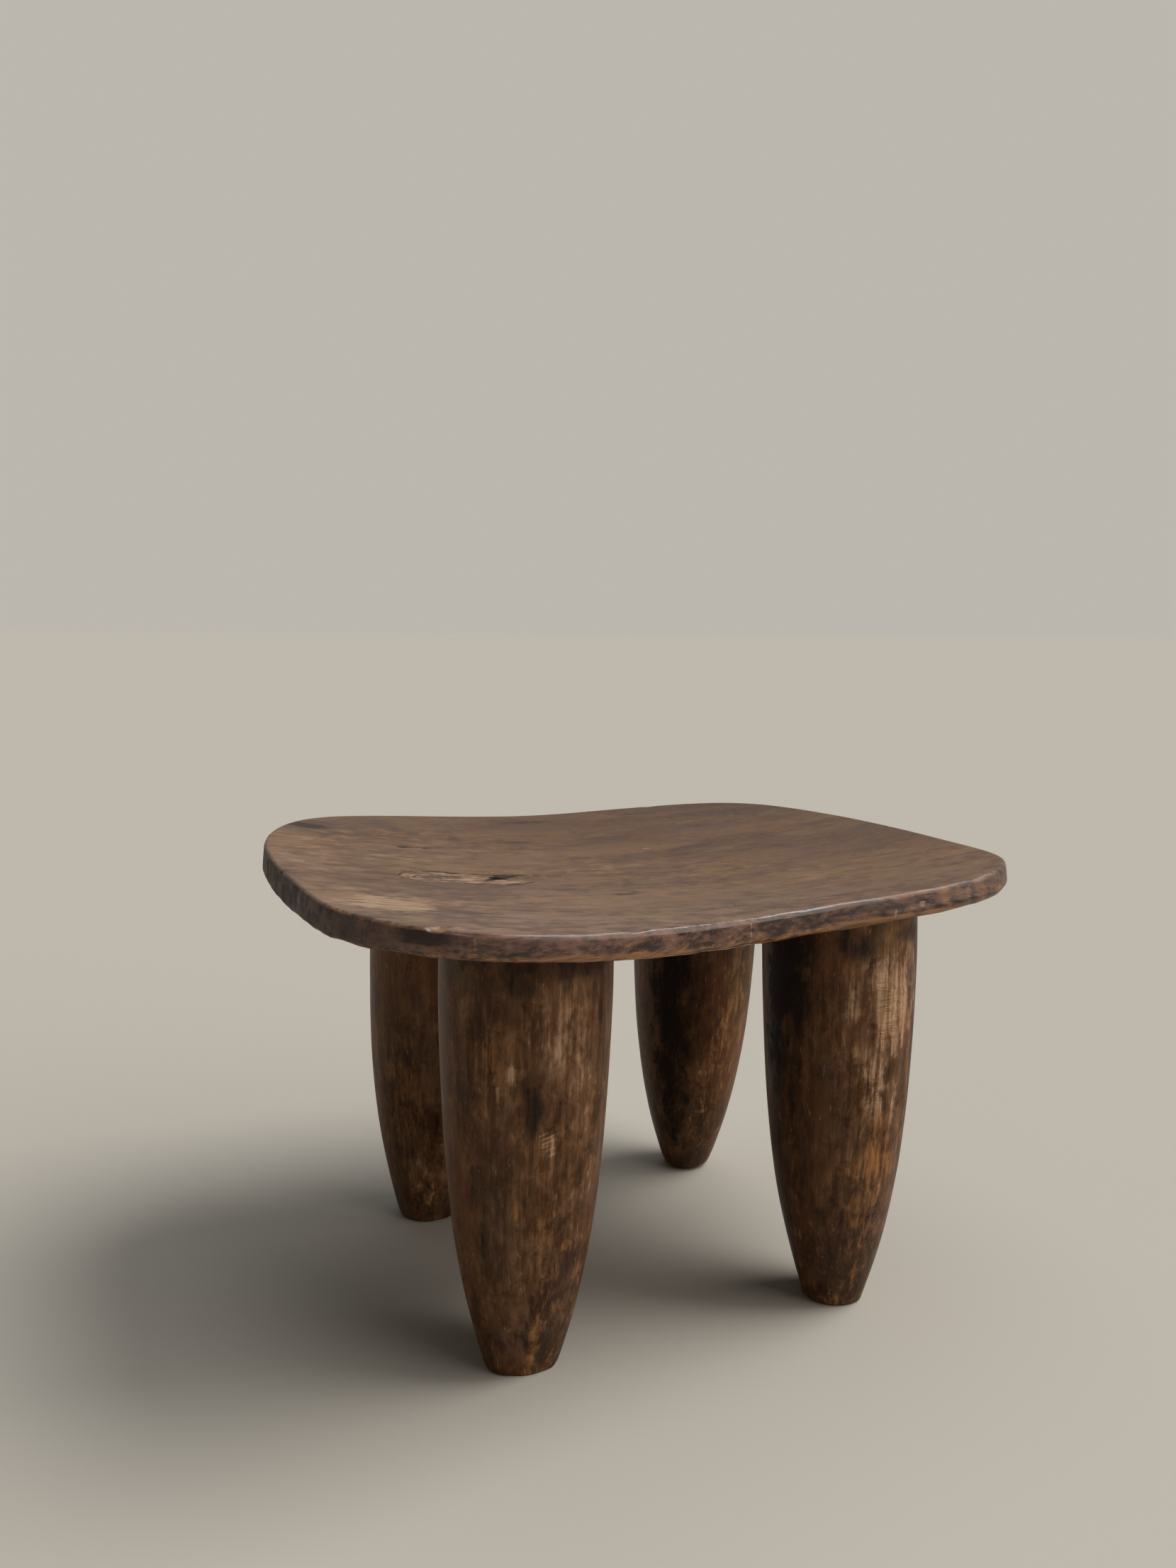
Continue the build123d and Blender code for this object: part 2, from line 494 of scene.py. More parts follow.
# Dry and pale: the knot, most of all its near half, then spots with the painted sheen on the near left of the
# top, scratches and broken lips
across_knot = to_far / np.maximum(to_far + to_near, 0.001)
dry = in_knot * (0.50 + 0.50 * step(across_knot, 0.10, 0.55)) * (1 - 0.25 * eye) * (1 - holes)
dry *= np.clip(0.66 + 0.6 * wobble + 0.4 * fine, 0, 1) * (1 - 0.75 * step(x, -0.088, -0.070))
dry = np.maximum(dry, spots_on_top(pale_spots_and_sheen, 0.7 * ragged))
for side_angle, top_share, low_share, width, slant, strength in pale_marks:
    line = on_rim * bell(round_the_rim(side_angle) + slant * (down - 0.5), 0, width)
    line *= part_way_down(top_share, top_share + 0.1, low_share - 0.1, low_share)
    dry = np.maximum(dry, strength * line)
# The pale lip of the chip on the near left arris is partly a painted highlight
lip = chipped * (1 - chipped) * 4 * step(0.3 - down, 0, 0.2)
dry = np.maximum(dry, 0.5 * lip * (angle < -135))
dry = np.maximum(dry, on_rim * bell(angle, -46.7, 0.75) * bell(down, 0.45, 0.09))

# Rubbed bare: along both arrises, at the near right corner and beside the near left one
edge_noise = 0.5 + 0.9 * ripple(p, 0.011, (1, 1, 0.7), 8) + 0.4 * wobble
low_wear = step(down, 0.54, 0.88) * (1 - 0.75 * step(down, 0.985, 1.0))
low_wear *= np.clip(edge_noise + 0.40, 0, 1) * (0.42 + 0.68 * bell(angle, -84, 48, 4))
top_wear = bell(down, 0.07, 0.07) * np.clip(edge_noise, 0, 1)
top_wear *= 0.35 + 0.6 * bell(angle, -145, 14) + 0.5 * right_corner
right_wear = 0.62 * upright * right_corner * np.clip(0.9 * edge_noise, 0, 1)
left_wear = 0.55 * upright * bell(angle, -150, 14) * np.clip(edge_noise + 0.1, 0, 1)
rubbed = on_rim * np.maximum.reduce([low_wear, top_wear, right_wear, left_wear])

# Faded over the near left of the top, and handled all round the rim
faded = 0.62 * step(0.6 * y + x, 0.10, -0.30) + 0.25 * step(y, 0.0, -0.15)
handled = on_rim * np.maximum(upright, step(down, 0.0, 0.03))

moved = np.clip(p + depth[:, None] * normals, cad_box[0], cad_box[1])
for v, place in zip(seat_shape.verts, moved):
    v.co = place
bmesh.ops.recalc_face_normals(seat_shape, faces=seat_shape.faces)

seat_mesh = bpy.data.meshes.new("carved_seat")
seat_shape.to_mesh(seat_mesh)
seat_shape.free()
seat_mesh.shade_smooth()


def keep_masks(mesh, **masks):
    """Stores masks on the mesh for its finish to read. One that is left out reads as 0."""
    for kind, values in masks.items():
        kept = mesh.attributes.new(kind, "FLOAT", "POINT")
        kept.data.foreach_set("value", np.clip(values, 0, 1).astype(np.float32))


keep_masks(
    seat_mesh,
    stained=stained,
    dry=dry,
    rubbed=rubbed,
    faded=upper * faded * (0.75 + 0.5 * broad),
    handled=handled,
    polished=handled * (0.48 + 0.52 * near_middle - 0.45 * left_end),
)


def carved_wood(name, grain_up, colours, roughness, sheen, lift):
    """Old handled hardwood: streaks and clouds along the grain, with the stains, wear, painted shade and
    painted sheen of the masks.
    """
    material = bpy.data.materials.new(name)
    material.use_nodes = True
    nodes, links = material.node_tree.nodes, material.node_tree.links
    shader = nodes["Principled BSDF"]
    place = nodes.new("ShaderNodeTexCoord").outputs["Object"]

    def feed(socket, source):
        if isinstance(source, bpy.types.NodeSocket):
            links.new(source, socket)
        elif isinstance(source, tuple):
            socket.default_value = (*source, 1.0)
        else:
            socket.default_value = source

    def calc(kind, *sources):
        made = nodes.new("ShaderNodeMath")
        made.operation = kind
        for socket, source in zip(made.inputs, sources):
            feed(socket, source)
        return made.outputs[0]

    def blend(factor, first, second):
        made = nodes.new("ShaderNodeMix")
        made.data_type = "RGBA"
        feed(made.inputs["Factor"], factor)
        feed(made.inputs["A"], first)
        feed(made.inputs["B"], second)
        return made.outputs["Result"]

    def span(value, low, high, most=1.0):
        """0 at low and the most at high, whichever of them is the greater."""
        made = nodes.new("ShaderNodeMapRange")
        made.interpolation_type = "SMOOTHSTEP"
        feed(made.inputs["Value"], value)
        made.inputs["From Min"].default_value = min(low, high)
        made.inputs["From Max"].default_value = max(low, high)
        made.inputs["To Min"].default_value = 0.0 if low < high else most
        made.inputs["To Max"].default_value = most if low < high else 0.0
        return made.outputs["Result"]

    def mask(kind):
        made = nodes.new("ShaderNodeAttribute")
        made.attribute_name = kind
        return made.outputs["Fac"]

    def grain(along, across, detail, rough, twist, shift):
        """Cloudy noise with so many lumps a metre along the grain and across it."""
        lumps = (across, across, along) if grain_up else (along, across, across)
        scaled = nodes.new("ShaderNodeMapping")
        scaled.inputs["Location"].default_value = (shift, shift, shift)
        scaled.inputs["Scale"].default_value = lumps
        links.new(place, scaled.inputs["Vector"])
        made = nodes.new("ShaderNodeTexNoise")
        made.inputs["Scale"].default_value = 1.0
        made.inputs["Detail"].default_value = detail
        made.inputs["Roughness"].default_value = rough
        made.inputs["Distortion"].default_value = twist
        links.new(scaled.outputs["Vector"], made.inputs["Vector"])
        return made.outputs["Fac"]

    def mixed(start, *shares):
        """Adds noises about their middle, each by its own share."""
        total = start
        for noise_value, share in shares:
            total = calc("MULTIPLY_ADD", calc("SUBTRACT", noise_value, 0.5), share, total)
        return total

    bands = grain(2.6, 17, 3.0, 0.5, 0.8, 3.0)
    streaks = grain(8, 62, 5.0, 0.62, 0.5, 0.0)
    lines = grain(20, 340, 4.0, 0.68, 0.0, 9.0)
    fibres = grain(70, 1300, 3.0, 0.6, 0.0, 2.0)
    mottle = grain(65, 120, 5.0, 0.7, 0.5, 5.0)
    clouds = grain(10, 19, 4.0, 0.6, 0.6, 7.0)
    hues = grain(14, 44, 4.0, 0.6, 0.5, 21.0)
    flecks = grain(130, 430, 3.0, 0.6, 0.0, 13.0)
    dashes = grain(30, 240, 4.0, 0.62, 0.0, 17.0)
    ripples = grain(400, 55, 3.0, 0.5, 1.6, 31.0)
    scraped = mask("scraped")
    handled = mask("handled")
    polished = mask("polished")
    faded = mask("faded")

    # Plain wood: its grain from dark to light, clouded with four hues, with dark dashes and pale flecks
    tone = mixed(0.5, (streaks, colours["streak_share"]), (bands, 1.2), (lines, colours["line_share"]),
                 (mottle, colours["mottle_share"]), (fibres, 0.3))
    ramp = nodes.new("ShaderNodeValToRGB")
    for stop, (at, colour) in enumerate(colours["grain"]):
        if stop > 1:
            ramp.color_ramp.elements.new(at)
        ramp.color_ramp.elements[stop].position = at
        ramp.color_ramp.elements[stop].color = (*colour, 1)
    feed(ramp.inputs["Fac"], tone)
    colour = blend(span(clouds, 0.48, 0.66, 0.6), ramp.outputs["Color"], colours["warm"])
    colour = blend(span(clouds, 0.50, 0.34, 0.5), colour, colours["cool"])
    colour = blend(span(hues, 0.56, 0.70, 0.55), colour, colours["olive"])
    colour = blend(span(hues, 0.44, 0.31, 0.55), colour, colours["plum"])
    colour = blend(span(dashes, 0.60, 0.72, 0.5), colour, colours["stain"])
    colour = blend(span(flecks, 0.64, 0.74, 0.35), colour, colours["dry"])

    # A pale haze where it is faded, and the dark, mottled patina of the handled rim, its plum patches partly
    # a painted purplish sheen
    haze = span(mixed(0.5, (clouds, 1.0), (mottle, 0.9), (lines, 0.5)), 0.25, 0.68)
    colour = blend(calc("MULTIPLY", faded, haze), colour, colours["faded"])
    rim_tone = mixed(0.5, (mottle, 1.25), (streaks, 0.8), (lines, 0.6), (flecks, 0.8), (fibres, 0.3))
    rim_colour = blend(span(rim_tone, 0.25, 0.75), colours["rim_dark"], colours["rim_light"])
    # Plum patches on the rim: partly a painted purplish sheen
    rim_colour = blend(span(hues, 0.52, 0.68, 0.5), rim_colour, colours["plum"])
    colour = blend(calc("MULTIPLY", handled, 0.9), colour, rim_colour)

    # Wear over all of it, with edges broken up by the grain: bare wood, dry wood with the painted sheen, and
    # dark stains with painted shade and painted shadow
    broken = mixed(0.0, (mottle, 1.5), (lines, 1.1), (flecks, 0.6))
    rubbed = span(calc("ADD", mask("rubbed"), broken), 0.25, 0.95, 0.92)
    bare_tone = span(mixed(0.5, (lines, 1.2), (fibres, 0.8)), 0.3, 0.7)
    colour = blend(rubbed, colour, blend(bare_tone, colours["bare_dark"], colours["bare"]))
    dry = span(calc("ADD", mask("dry"), broken), 0.20, 0.95, 0.85)
    colour = blend(dry, colour, blend(span(lines, 0.38, 0.60), colours["dry_dark"], colours["dry"]))
    stained = span(calc("ADD", mask("stained"), calc("MULTIPLY", broken, 0.8)), 0.22, 0.85, 0.95)
    # The stain colour also paints the shade in cracks, holes and hollows and the seat's shadow on the tops of
    # the legs
    colour = blend(stained, colour, colours["stain"])
    colour = blend(calc("MULTIPLY", scraped, span(ripples, 0.46, 0.34, 0.6)), colour, colours["bare_dark"])
    feed(shader.inputs["Base Color"], colour)

    # Hands and light leave a shine, drying and stains take it off, and so do the painted sheen and painted
    # shade that share their masks
    gloss = mixed(roughness, (mottle, 0.45), (streaks, 0.35), (fibres, 0.15))
    for place_mask, change in ((polished, -0.49), (faded, -0.15), (dry, 0.15), (stained, 0.22)):
        gloss = calc("MULTIPLY_ADD", place_mask, change, gloss)
    feed(shader.inputs["Roughness"], gloss)
    shader.inputs["Specular IOR Level"].default_value = sheen

    # The fine relief of the grain, smoother where it is polished, and the chatter of a scraper
    bump = nodes.new("ShaderNodeBump")
    bump.inputs["Strength"].default_value = lift
    bump.inputs["Distance"].default_value = 0.0008
    relief = mixed(0.5, (fibres, 0.5), (lines, 0.9), (mottle, 0.7), (dashes, 0.4))
    relief = calc("MULTIPLY", relief, calc("MULTIPLY_ADD", polished, -0.75, 1.0))
    feed(bump.inputs["Height"], calc("MULTIPLY_ADD", calc("MULTIPLY", scraped, ripples), 2.4, relief))
    feed(shader.inputs["Normal"], bump.outputs["Normal"])
    return material


seat_colours = {
    "line_share": 0.85,
    "streak_share": 0.75,
    "mottle_share": 2.0,
    "grain": (
        (0.10, (0.038, 0.016, 0.007)),
        (0.40, (0.085, 0.038, 0.016)),
        (0.60, (0.123, 0.061, 0.027)),
        (0.95, (0.205, 0.117, 0.062)),
    ),
    "warm": (0.132, 0.068, 0.031),
    "cool": (0.082, 0.043, 0.029),
    "olive": (0.150, 0.098, 0.040),
    "plum": (0.088, 0.046, 0.038),
    # Dark stains, and the colour of the painted shade
    "stain": (0.018, 0.009, 0.007),
    "rim_dark": (0.022, 0.010, 0.009),
    "rim_light": (0.170, 0.086, 0.058),
    "faded": (0.235, 0.150, 0.103),
    "bare": (0.360, 0.170, 0.062),
    "bare_dark": (0.130, 0.052, 0.020),
    # Pale dry wood, and the colour of the painted sheen
    "dry": (0.400, 0.270, 0.175),
    "dry_dark": (0.245, 0.150, 0.090),
}
seat_mesh.materials.append(carved_wood("seat_wood_finish", False, seat_colours, 0.64, 0.42, 0.24))
seat = bpy.data.objects.new("carved_seat", seat_mesh)
bpy.context.scene.collection.objects.link(seat)
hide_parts("seat")
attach(seat, "root")


# Legs: four stout bullets cut from the same block, full under the seat and drawn in to a
# small foot. They are shaved with a knife from top to toe, then stained dark and rubbed,
# and each runs straight up into the slab with no joint.
leg_rings = 128
leg_sides = 144
hidden_top = 0.2545
sole_cells = 6
felt_ways = 48
felt_heights = np.linspace(0.009, 0.232, 24)
girth_power = 6
flat_height = 0.045
scuff_height = 0.016
usual_radius = 0.045
score_width = 0.00055
scrape_step = 0.0072

# Marks on the sides that show: direction in degrees, height, half width in degrees, half height and
# strength. A scratch runs from one direction and height to another. A foot's flats are given by
# direction, width and the share that it is drawn in, and fine_net is where the scratches crowd.
leg_marks = {
    "leg_near_left": {
        "foot_round": 0.0010,
        "foot_flats": ((-96, 40, 0.12), (40, 50, 0.06)),
        "stained": (
            # The bands from 0.236 up, just under the seat, are the seat's painted shadow; the others are dark
            # marks
            (-104, 0.169, 10, 0.020, 0.75), (-146, 0.121, 14, 0.018, 0.5), (-141, 0.081, 10, 0.024, 0.5),
            (-54, 0.214, 3, 0.018, 0.7), (-48, 0.190, 3, 0.030, 0.45), (-90, 0.243, 90, 0.009, 0.6),
            (-120, 0.236, 24, 0.014, 0.55), (-70, 0.060, 16, 0.018, 0.3), (-118, 0.214, 8, 0.012, 0.4),
        ),
        "dry": (
            (-88, 0.206, 30, 0.022, 0.42), (-118, 0.186, 3.4, 0.005, 0.75), (-127, 0.175, 2.5, 0.005, 0.55),
            (-66, 0.170, 24, 0.050, 0.20), (-92, 0.146, 11, 0.014, 0.34), (-62, 0.110, 12, 0.030, 0.18),
        ),
        "rubbed": (
            (-90, 0.062, 4.5, 0.014, 0.58), (-91, 0.041, 5.5, 0.012, 0.52), (-96, 0.022, 8, 0.018, 0.66),
            (-100, 0.004, 12, 0.012, 0.6), (-114, 0.110, 3.5, 0.006, 0.7), (-132, 0.190, 9, 0.018, 0.5),
            (-92, 0.100, 11, 0.026, 0.36), (-60, 0.010, 16, 0.008, 0.5), (-75, 0.085, 10, 0.006, 0.55),
            (-75, 0.220, 22, 0.014, 0.35), (-74, 0.052, 44, 0.060, 0.28), (-70, 0.150, 26, 0.060, 0.22),
        ),
        "scratches": (
            (-99, 0.1515, -93, 0.1530, 0.9), (-98, 0.1490, -90, 0.1512, 1.0), (-97, 0.1468, -87, 0.1490, 1.0),
            (-98, 0.1448, -92, 0.1460, 0.8), (-95, 0.1425, -88, 0.1444, 0.9), (-93, 0.1395, -88, 0.1408, 0.8),
            (-91, 0.1535, -86, 0.1546, 0.7), (-96, 0.1378, -92, 0.1386, 0.6), (-69, 0.180, -55, 0.177, 0.7),
            (-56, 0.177, -48, 0.164, 0.8), (-59, 0.129, -57, 0.120, 0.7), (-55, 0.112, -52, 0.106, 0.6),
            (-50, 0.104, -46, 0.093, 0.6), (-94, 0.072, -89, 0.064, 0.6), (-66, 0.205, -60, 0.196, 0.5),
        ),
        "fine_net": ((-92, 0.146, 10, 0.011, 1.0),),
        "scraped": (),
        "faded": (
            (-78, 0.195, 42, 0.050, 0.46), (-62, 0.120, 26, 0.080, 0.34), (-88, 0.045, 46, 0.055, 0.46),
            (-100, 0.150, 20, 0.060, 0.16),
        ),
    },
    "leg_near_right": {
        "foot_round": 0.0016,
        "foot_flats": ((-112, 30, 0.04), (-30, 30, 0.04), (100, 50, 0.05)),
        "stained": (
            # The bands from 0.235 up, just under the seat, are the seat's painted shadow, and the dark upper
            # left is partly painted shadow; the others are dark marks
            (-164, 0.222, 28, 0.046, 0.95), (-176, 0.180, 16, 0.060, 0.8), (-144, 0.235, 26, 0.018, 0.7),
            (-112, 0.236, 20, 0.014, 0.62), (-60, 0.240, 34, 0.006, 0.5), (-130, 0.150, 12, 0.030, 0.35),
            (-101, 0.150, 1.2, 0.0014, 1.0), (-150, 0.110, 14, 0.050, 0.35), (-104, 0.206, 5, 0.018, 0.5),
            (-60, 0.150, 5, 0.020, 0.45), (-125, 0.060, 14, 0.030, 0.3),
        ),
        "dry": (
            (-82, 0.202, 30, 0.034, 0.78), (-94, 0.212, 8, 0.012, 0.9), (-75, 0.210, 10, 0.014, 0.9),
            (-76, 0.176, 8, 0.016, 0.95), (-66, 0.190, 8, 0.026, 0.85), (-90, 0.166, 20, 0.034, 0.5),
            (-92, 0.144, 14, 0.016, 0.56), (-73, 0.137, 2.4, 0.014, 0.75), (-58, 0.214, 12, 0.016, 0.6),
        ),
        "rubbed": (
            (-84, 0.104, 17, 0.036, 0.72), (-94, 0.055, 5, 0.016, 0.70), (-94, 0.028, 4.5, 0.020, 0.7),
            (-80, 0.190, 32, 0.040, 0.6), (-54, 0.130, 12, 0.080, 0.42), (-105, 0.090, 18, 0.040, 0.42),
            (-100, 0.004, 50, 0.005, 0.5), (-104, 0.150, 16, 0.050, 0.34), (-84, 0.070, 38, 0.062, 0.40),
            (-120, 0.190, 10, 0.040, 0.25),
        ),
        "scratches": (
            (-104, 0.0940, -88, 0.0910, 0.6), (-100, 0.0860, -84, 0.0900, 0.5), (-84, 0.092, -79, 0.084, 0.6),
            (-70, 0.150, -66, 0.144, 0.5), (-82, 0.086, -80, 0.078, 0.6), (-112, 0.128, -106, 0.127, 0.5),
        ),
        "fine_net": (),
        "scraped": ((-84, 0.194, 26, 0.030, 1.0), (-93, 0.146, 16, 0.016, 0.8)),
        "faded": (
            (-84, 0.180, 36, 0.060, 0.42), (-82, 0.080, 42, 0.075, 0.46), (-110, 0.120, 30, 0.090, 0.24),
        ),
    },
    "leg_far_right": {
        "foot_round": 0.0060,
        "foot_flats": ((-60, 40, 0.05), (150, 60, 0.05)),
        "stained": (
            # The wide band at 0.232, just under the seat, is the seat's painted shadow
            (-140, 0.128, 28, 0.120, 0.85), (-110, 0.232, 100, 0.020, 0.75), (-115, 0.010, 60, 0.014, 0.5),
        ),
        "dry": ((-85, 0.105, 12, 0.030, 0.28), (-97, 0.087, 12, 0.003, 0.4), (-101, 0.054, 12, 0.003, 0.4)),
        "rubbed": (
            (-82, 0.105, 26, 0.060, 0.5), (-60, 0.150, 24, 0.070, 0.4), (-90, 0.060, 22, 0.024, 0.36),
        ),
        "scratches": (
            (-106, 0.0880, -88, 0.0875, 0.6), (-104, 0.0850, -92, 0.0845, 0.5),
            (-110, 0.0550, -94, 0.0545, 0.6), (-104, 0.0400, -92, 0.0395, 0.5),
        ),
        "fine_net": (),
        "scraped": ((-92, 0.070, 26, 0.034, 0.5),),
        "faded": (),
    },
    "leg_far_left": {
        "foot_round": 0.0018,
        "foot_flats": ((-95, 30, 0.04), (30, 60, 0.06)),
        "stained": (
            # The wide band at 0.234, just under the seat, is the seat's painted shadow
            (-110, 0.234, 120, 0.024, 0.85), (-124, 0.063, 16, 0.018, 0.4), (-150, 0.160, 22, 0.034, 0.35),
            (-100, 0.130, 30, 0.050, 0.3),
        ),
        "dry": ((-110, 0.028, 14, 0.014, 0.4), (-118, 0.052, 9, 0.010, 0.3), (-130, 0.075, 10, 0.010, 0.25)),
        "rubbed": (
            (-130, 0.090, 26, 0.060, 0.46), (-110, 0.030, 34, 0.030, 0.46), (-172, 0.140, 12, 0.090, 0.34),
        ),
        "scratches": ((-128, 0.120, -124, 0.112, 0.4), (-112, 0.040, -106, 0.036, 0.5)),
        "fine_net": (),
        "scraped": (),
        "faded": ((-120, 0.050, 40, 0.050, 0.22),),
    },
}
# Marks of the same kinds round the backs of the legs: how many, widest, tallest and strongest
back_marks = {
    "stained": (5, 22, 0.030, 0.6),
    "dry": (4, 14, 0.022, 0.5),
    "rubbed": (6, 14, 0.030, 0.6),
    "faded": (3, 40, 0.060, 0.4),
}


def section_at(tree, middle, height):
    """Middle and mean radius of a leg's solid at a height, felt from inside."""
    start = Vector((*middle, height))
    ways = [Vector((cos(turn), sin(turn), 0)) for turn in np.linspace(0, 2 * pi, felt_ways, endpoint=False)]
    felt = np.array([tree.ray_cast(start, way)[0] for way in ways])
    middle = (felt.min(axis=0) + felt.max(axis=0))[:2] / 2
    return middle, np.hypot(felt[:, 0] - middle[0], felt[:, 1] - middle[1]).mean()


def turned_leg(girth, foot_round):
    """An upright bullet, spun from its half outline: the sole, its rounded edge, the shaft and the top."""
    flat = np.polyval(girth, 0) - foot_round
    outline = [(flat * i / sole_cells, 0) for i in range(sole_cells + 1)]
    for i in range(1, round_steps):
        swing = i / round_steps * pi / 2
        rise = foot_round * (1 - cos(swing))
        outline.append((np.polyval(girth, rise) - foot_round * (1 - sin(swing)), rise))
    outline += [(np.polyval(girth, h), h) for h in np.linspace(foot_round, hidden_top, leg_rings)]
    outline.append((0, hidden_top))
    shape = bmesh.new()
    line = [shape.verts.new((out, 0, up)) for out, up in outline]
    edges = [shape.edges.new(pair) for pair in zip(line, line[1:])]
    bmesh.ops.spin(
        shape,
        geom=line + edges,
        cent=(0, 0, 0),
        axis=(0, 0, 1),
        angle=2 * pi,
        steps=leg_sides,
        use_merge=True,
    )
    bmesh.ops.remove_doubles(shape, verts=shape.verts, dist=1e-6)
    bmesh.ops.recalc_face_normals(shape, faces=shape.faces)
    return shape


def by_a_leg_mark(c, places):
    """True within the reach of any of the marks."""
    turn = np.degrees(np.arctan2(c.y, c.x))
    return any(abs(turn - a) < wide and abs(c.z - h) < tall for a, h, wide, tall, _ in places)


def leg_spots(turn, height, ragged, places, spread, core):
    """The strength of each of several ragged ovals round a leg, full over a core of its size."""
    for at_turn, at_height, wide, tall, strength in places:
        gap = np.hypot(turned_from(turn, at_turn) / (wide * spread), (height - at_height) / (tall * spread))
        yield strength * (1 - step(gap + ragged, core, 1.0))


leg_colours = {
    "line_share": 0.85,
    "streak_share": 1.0,
    "mottle_share": 1.5,
    "grain": (
        (0.10, (0.024, 0.009, 0.004)),
        (0.40, (0.070, 0.028, 0.009)),
        (0.60, (0.125, 0.056, 0.021)),
        (0.95, (0.258, 0.137, 0.066)),
    ),
    "warm": (0.125, 0.048, 0.018),
    "cool": (0.044, 0.024, 0.015),
    "olive": (0.090, 0.054, 0.022),
    "plum": (0.070, 0.030, 0.019),
    # Dark stains, and the colour of the painted shadow under the seat
    "stain": (0.010, 0.006, 0.005),
    "rim_dark": (0.022, 0.010, 0.009),
    "rim_light": (0.100, 0.050, 0.034),
    "faded": (0.205, 0.118, 0.072),
    "bare": (0.360, 0.160, 0.052),
    "bare_dark": (0.150, 0.056, 0.019),
    "dry": (0.500, 0.320, 0.200),
    "dry_dark": (0.260, 0.140, 0.072),
}
leg_finish = carved_wood("leg_wood_finish", True, leg_colours, 0.45, 0.12, 0.6)

for seed, (name, marks) in enumerate(leg_marks.items(), start=11):
    solid = solid_copy(name)
    tree = BVHTree.FromBMesh(solid)
    solid.free()
    low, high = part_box(name)
    middle = ((low.x + high.x) / 2, (low.y + high.y) / 2)
    felt = [section_at(tree, middle, h) for h in felt_heights]
    lean_x, lean_y = (np.polyfit(felt_heights, [m[i] for m, _ in felt], 1) for i in (0, 1))
    girth = np.polyfit(felt_heights, [r for _, r in felt], girth_power)

    shape = turned_leg(girth, marks["foot_round"])
    refine(shape, lambda c: by_a_leg_mark(c, marks["scraped"]), 1)
    refine(shape, lambda c: by_a_leg_mark(c, marks["fine_net"]), 3)
    shape.normal_update()
    p = places_of(shape.verts)
    normals = np.array([v.normal for v in shape.verts])
    radius = np.hypot(p[:, 0], p[:, 1])
    turn = np.degrees(np.arctan2(p[:, 1], p[:, 0]))
    height = p[:, 2]
    shaft = step(radius, 0.012, 0.017)
    wobble = ripple(p, 0.006, (1, 1, 2.0), seed + 2)
    fine = ripple(p, 0.0022, (1, 1, 1.4), seed + 3)
    ragged = 0.30 * ripple(p, 0.012, (1, 1, 2.2), seed + 4) + 0.28 * wobble + 0.16 * fine

    # Long shallow knife cuts, a little out of round, and a foot that is scuffed and worn flat
    facets = ripple(p, 0.030, (1, 1, 3.2), seed)
    shaved = ripple(p, 0.011, (1, 1, 5.0), seed + 1)
    depth = shaft * (0.00055 * facets + 0.00022 * shaved + 0.00006 * wobble)
    scuffed = step(scuff_height - height, 0, scuff_height) * np.clip(wobble + 0.3, 0, 1)
    depth -= 0.0006 * shaft * scuffed
    drawn_in = np.zeros(len(p))
    for at_turn, wide, share in marks["foot_flats"]:
        drawn_in += share * bell(turned_from(turn, at_turn), 0, wide, 4)
    drawn_in *= step(flat_height - height, 0, flat_height)

    # Spots of each kind, those of the table and more by chance round the back
    chance = random.Random(seed)
    worn = {}
    for kind, (count, widest, tallest, strongest) in back_marks.items():
        places = list(marks[kind])
        for _ in range(count):
            wide = chance.uniform(0.4, 1.0) * widest
            at_turn = chance.uniform(5, 150)
            at_height = chance.uniform(0.01, 0.23)
            tall = chance.uniform(0.4, 1.0) * tallest
            strength = chance.uniform(0.6, 1.0) * strongest
            places.append((at_turn, at_height, wide, tall, strength))
        worn[kind] = np.maximum.reduce(list(leg_spots(turn, height, ragged, places, 1.4, 0.15)))

    # Scraped places, with the chatter of the blade, then thin scratches and a bare edge to the foot
    worn["scraped"] = np.zeros(len(p))
    chatter = np.sin((height + 0.0040 * ripple(p, 0.014, seed=seed + 5)) * 2 * pi / scrape_step)
    chatter *= np.clip(0.5 + ripple(p, 0.009, seed=seed + 6), 0, 1)
    for here in leg_spots(turn, height, ragged, marks["scraped"], 1.0, 0.4):
        worn["scraped"] = np.maximum(worn["scraped"], here)
        depth += 0.00022 * here * chatter
    around = np.radians(turn) * usual_radius
    for from_turn, from_height, to_turn, to_height, strength in marks["scratches"]:
        start = (radians(from_turn) * usual_radius, from_height)
        end = (radians(to_turn) * usual_radius, to_height)
        score = shaft * stroke(around, height + 0.0003 * fine, start, end, score_width)
        depth -= 0.00012 * score
        worn["dry"] = np.maximum(worn["dry"], strength * score)
    foot_edge = 0.55 * shaft * step(0.007 - height, 0, 0.005) * np.clip(0.4 + wobble, 0, 1)
    worn["rubbed"] = np.maximum(worn["rubbed"], foot_edge)

    # The sole stays on the floor. The rest takes its relief, is drawn in low down, and leans as it should
    sole_rise = 0.0002 * np.clip(wobble, 0, 1) * step(radius, 0.004, 0.012)
    moved = p + depth[:, None] * normals
    moved[:, :2] *= 1 - drawn_in[:, None]
    moved[:, 2] = np.where(height <= 1e-6, sole_rise, np.maximum(moved[:, 2], 0))
    moved[:, 0] += np.polyval(lean_x, moved[:, 2])
    moved[:, 1] += np.polyval(lean_y, moved[:, 2])
    for v, place in zip(shape.verts, moved):
        v.co = place
    mesh = bpy.data.meshes.new(f"carved_{name}")
    shape.to_mesh(mesh)
    shape.free()
    mesh.shade_smooth()
    keep_masks(mesh, **worn)
    mesh.materials.append(leg_finish)
    leg = bpy.data.objects.new(f"carved_{name}", mesh)
    bpy.context.scene.collection.objects.link(leg)
    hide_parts(name)
    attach(leg, "root")


